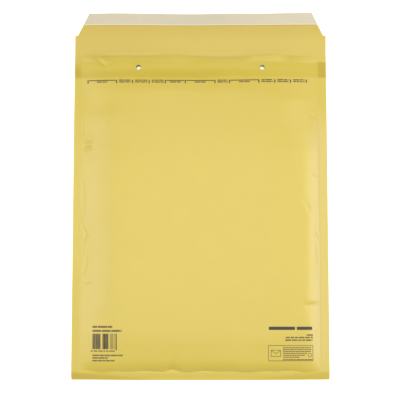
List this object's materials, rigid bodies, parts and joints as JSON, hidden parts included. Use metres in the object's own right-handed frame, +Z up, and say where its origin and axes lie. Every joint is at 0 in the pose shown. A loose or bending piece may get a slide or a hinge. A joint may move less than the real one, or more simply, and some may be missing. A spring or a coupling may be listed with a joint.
{
  "type": "padded envelope",
  "caption": "Bubble-lined kraft paper envelope with welded edges, an open mouth and a flap that carries a peel-off closing strip.",
  "frame": {"origin": "on the surface that the envelope lies on, under the middle of its whole width and length", "axes": "+X to the right across the front, +Y from the bottom weld to the flap, +Z up out of the front panel"},
  "size_m": [0.29, 0.42, 0.0124],
  "materials": {
    "kraft_inside": "golden kraft paper, uncoated inner face",
    "kraft_outside": "golden kraft paper with a soft sheen",
    "bubble_film": "clear polythene bubble film",
    "hot_melt_adhesive": "tacky cream hot melt",
    "release_paper": "grey-beige silicone-coated paper"
  },
  "bodies": {
    "root": {"back_panel": "kraft_inside", "front_panel": "kraft_outside", "back_bubble_film": "bubble_film", "front_bubble_film": "bubble_film", "adhesive_strip": "hot_melt_adhesive", "release_liner": "release_paper"}
  },
  "joints": []
}
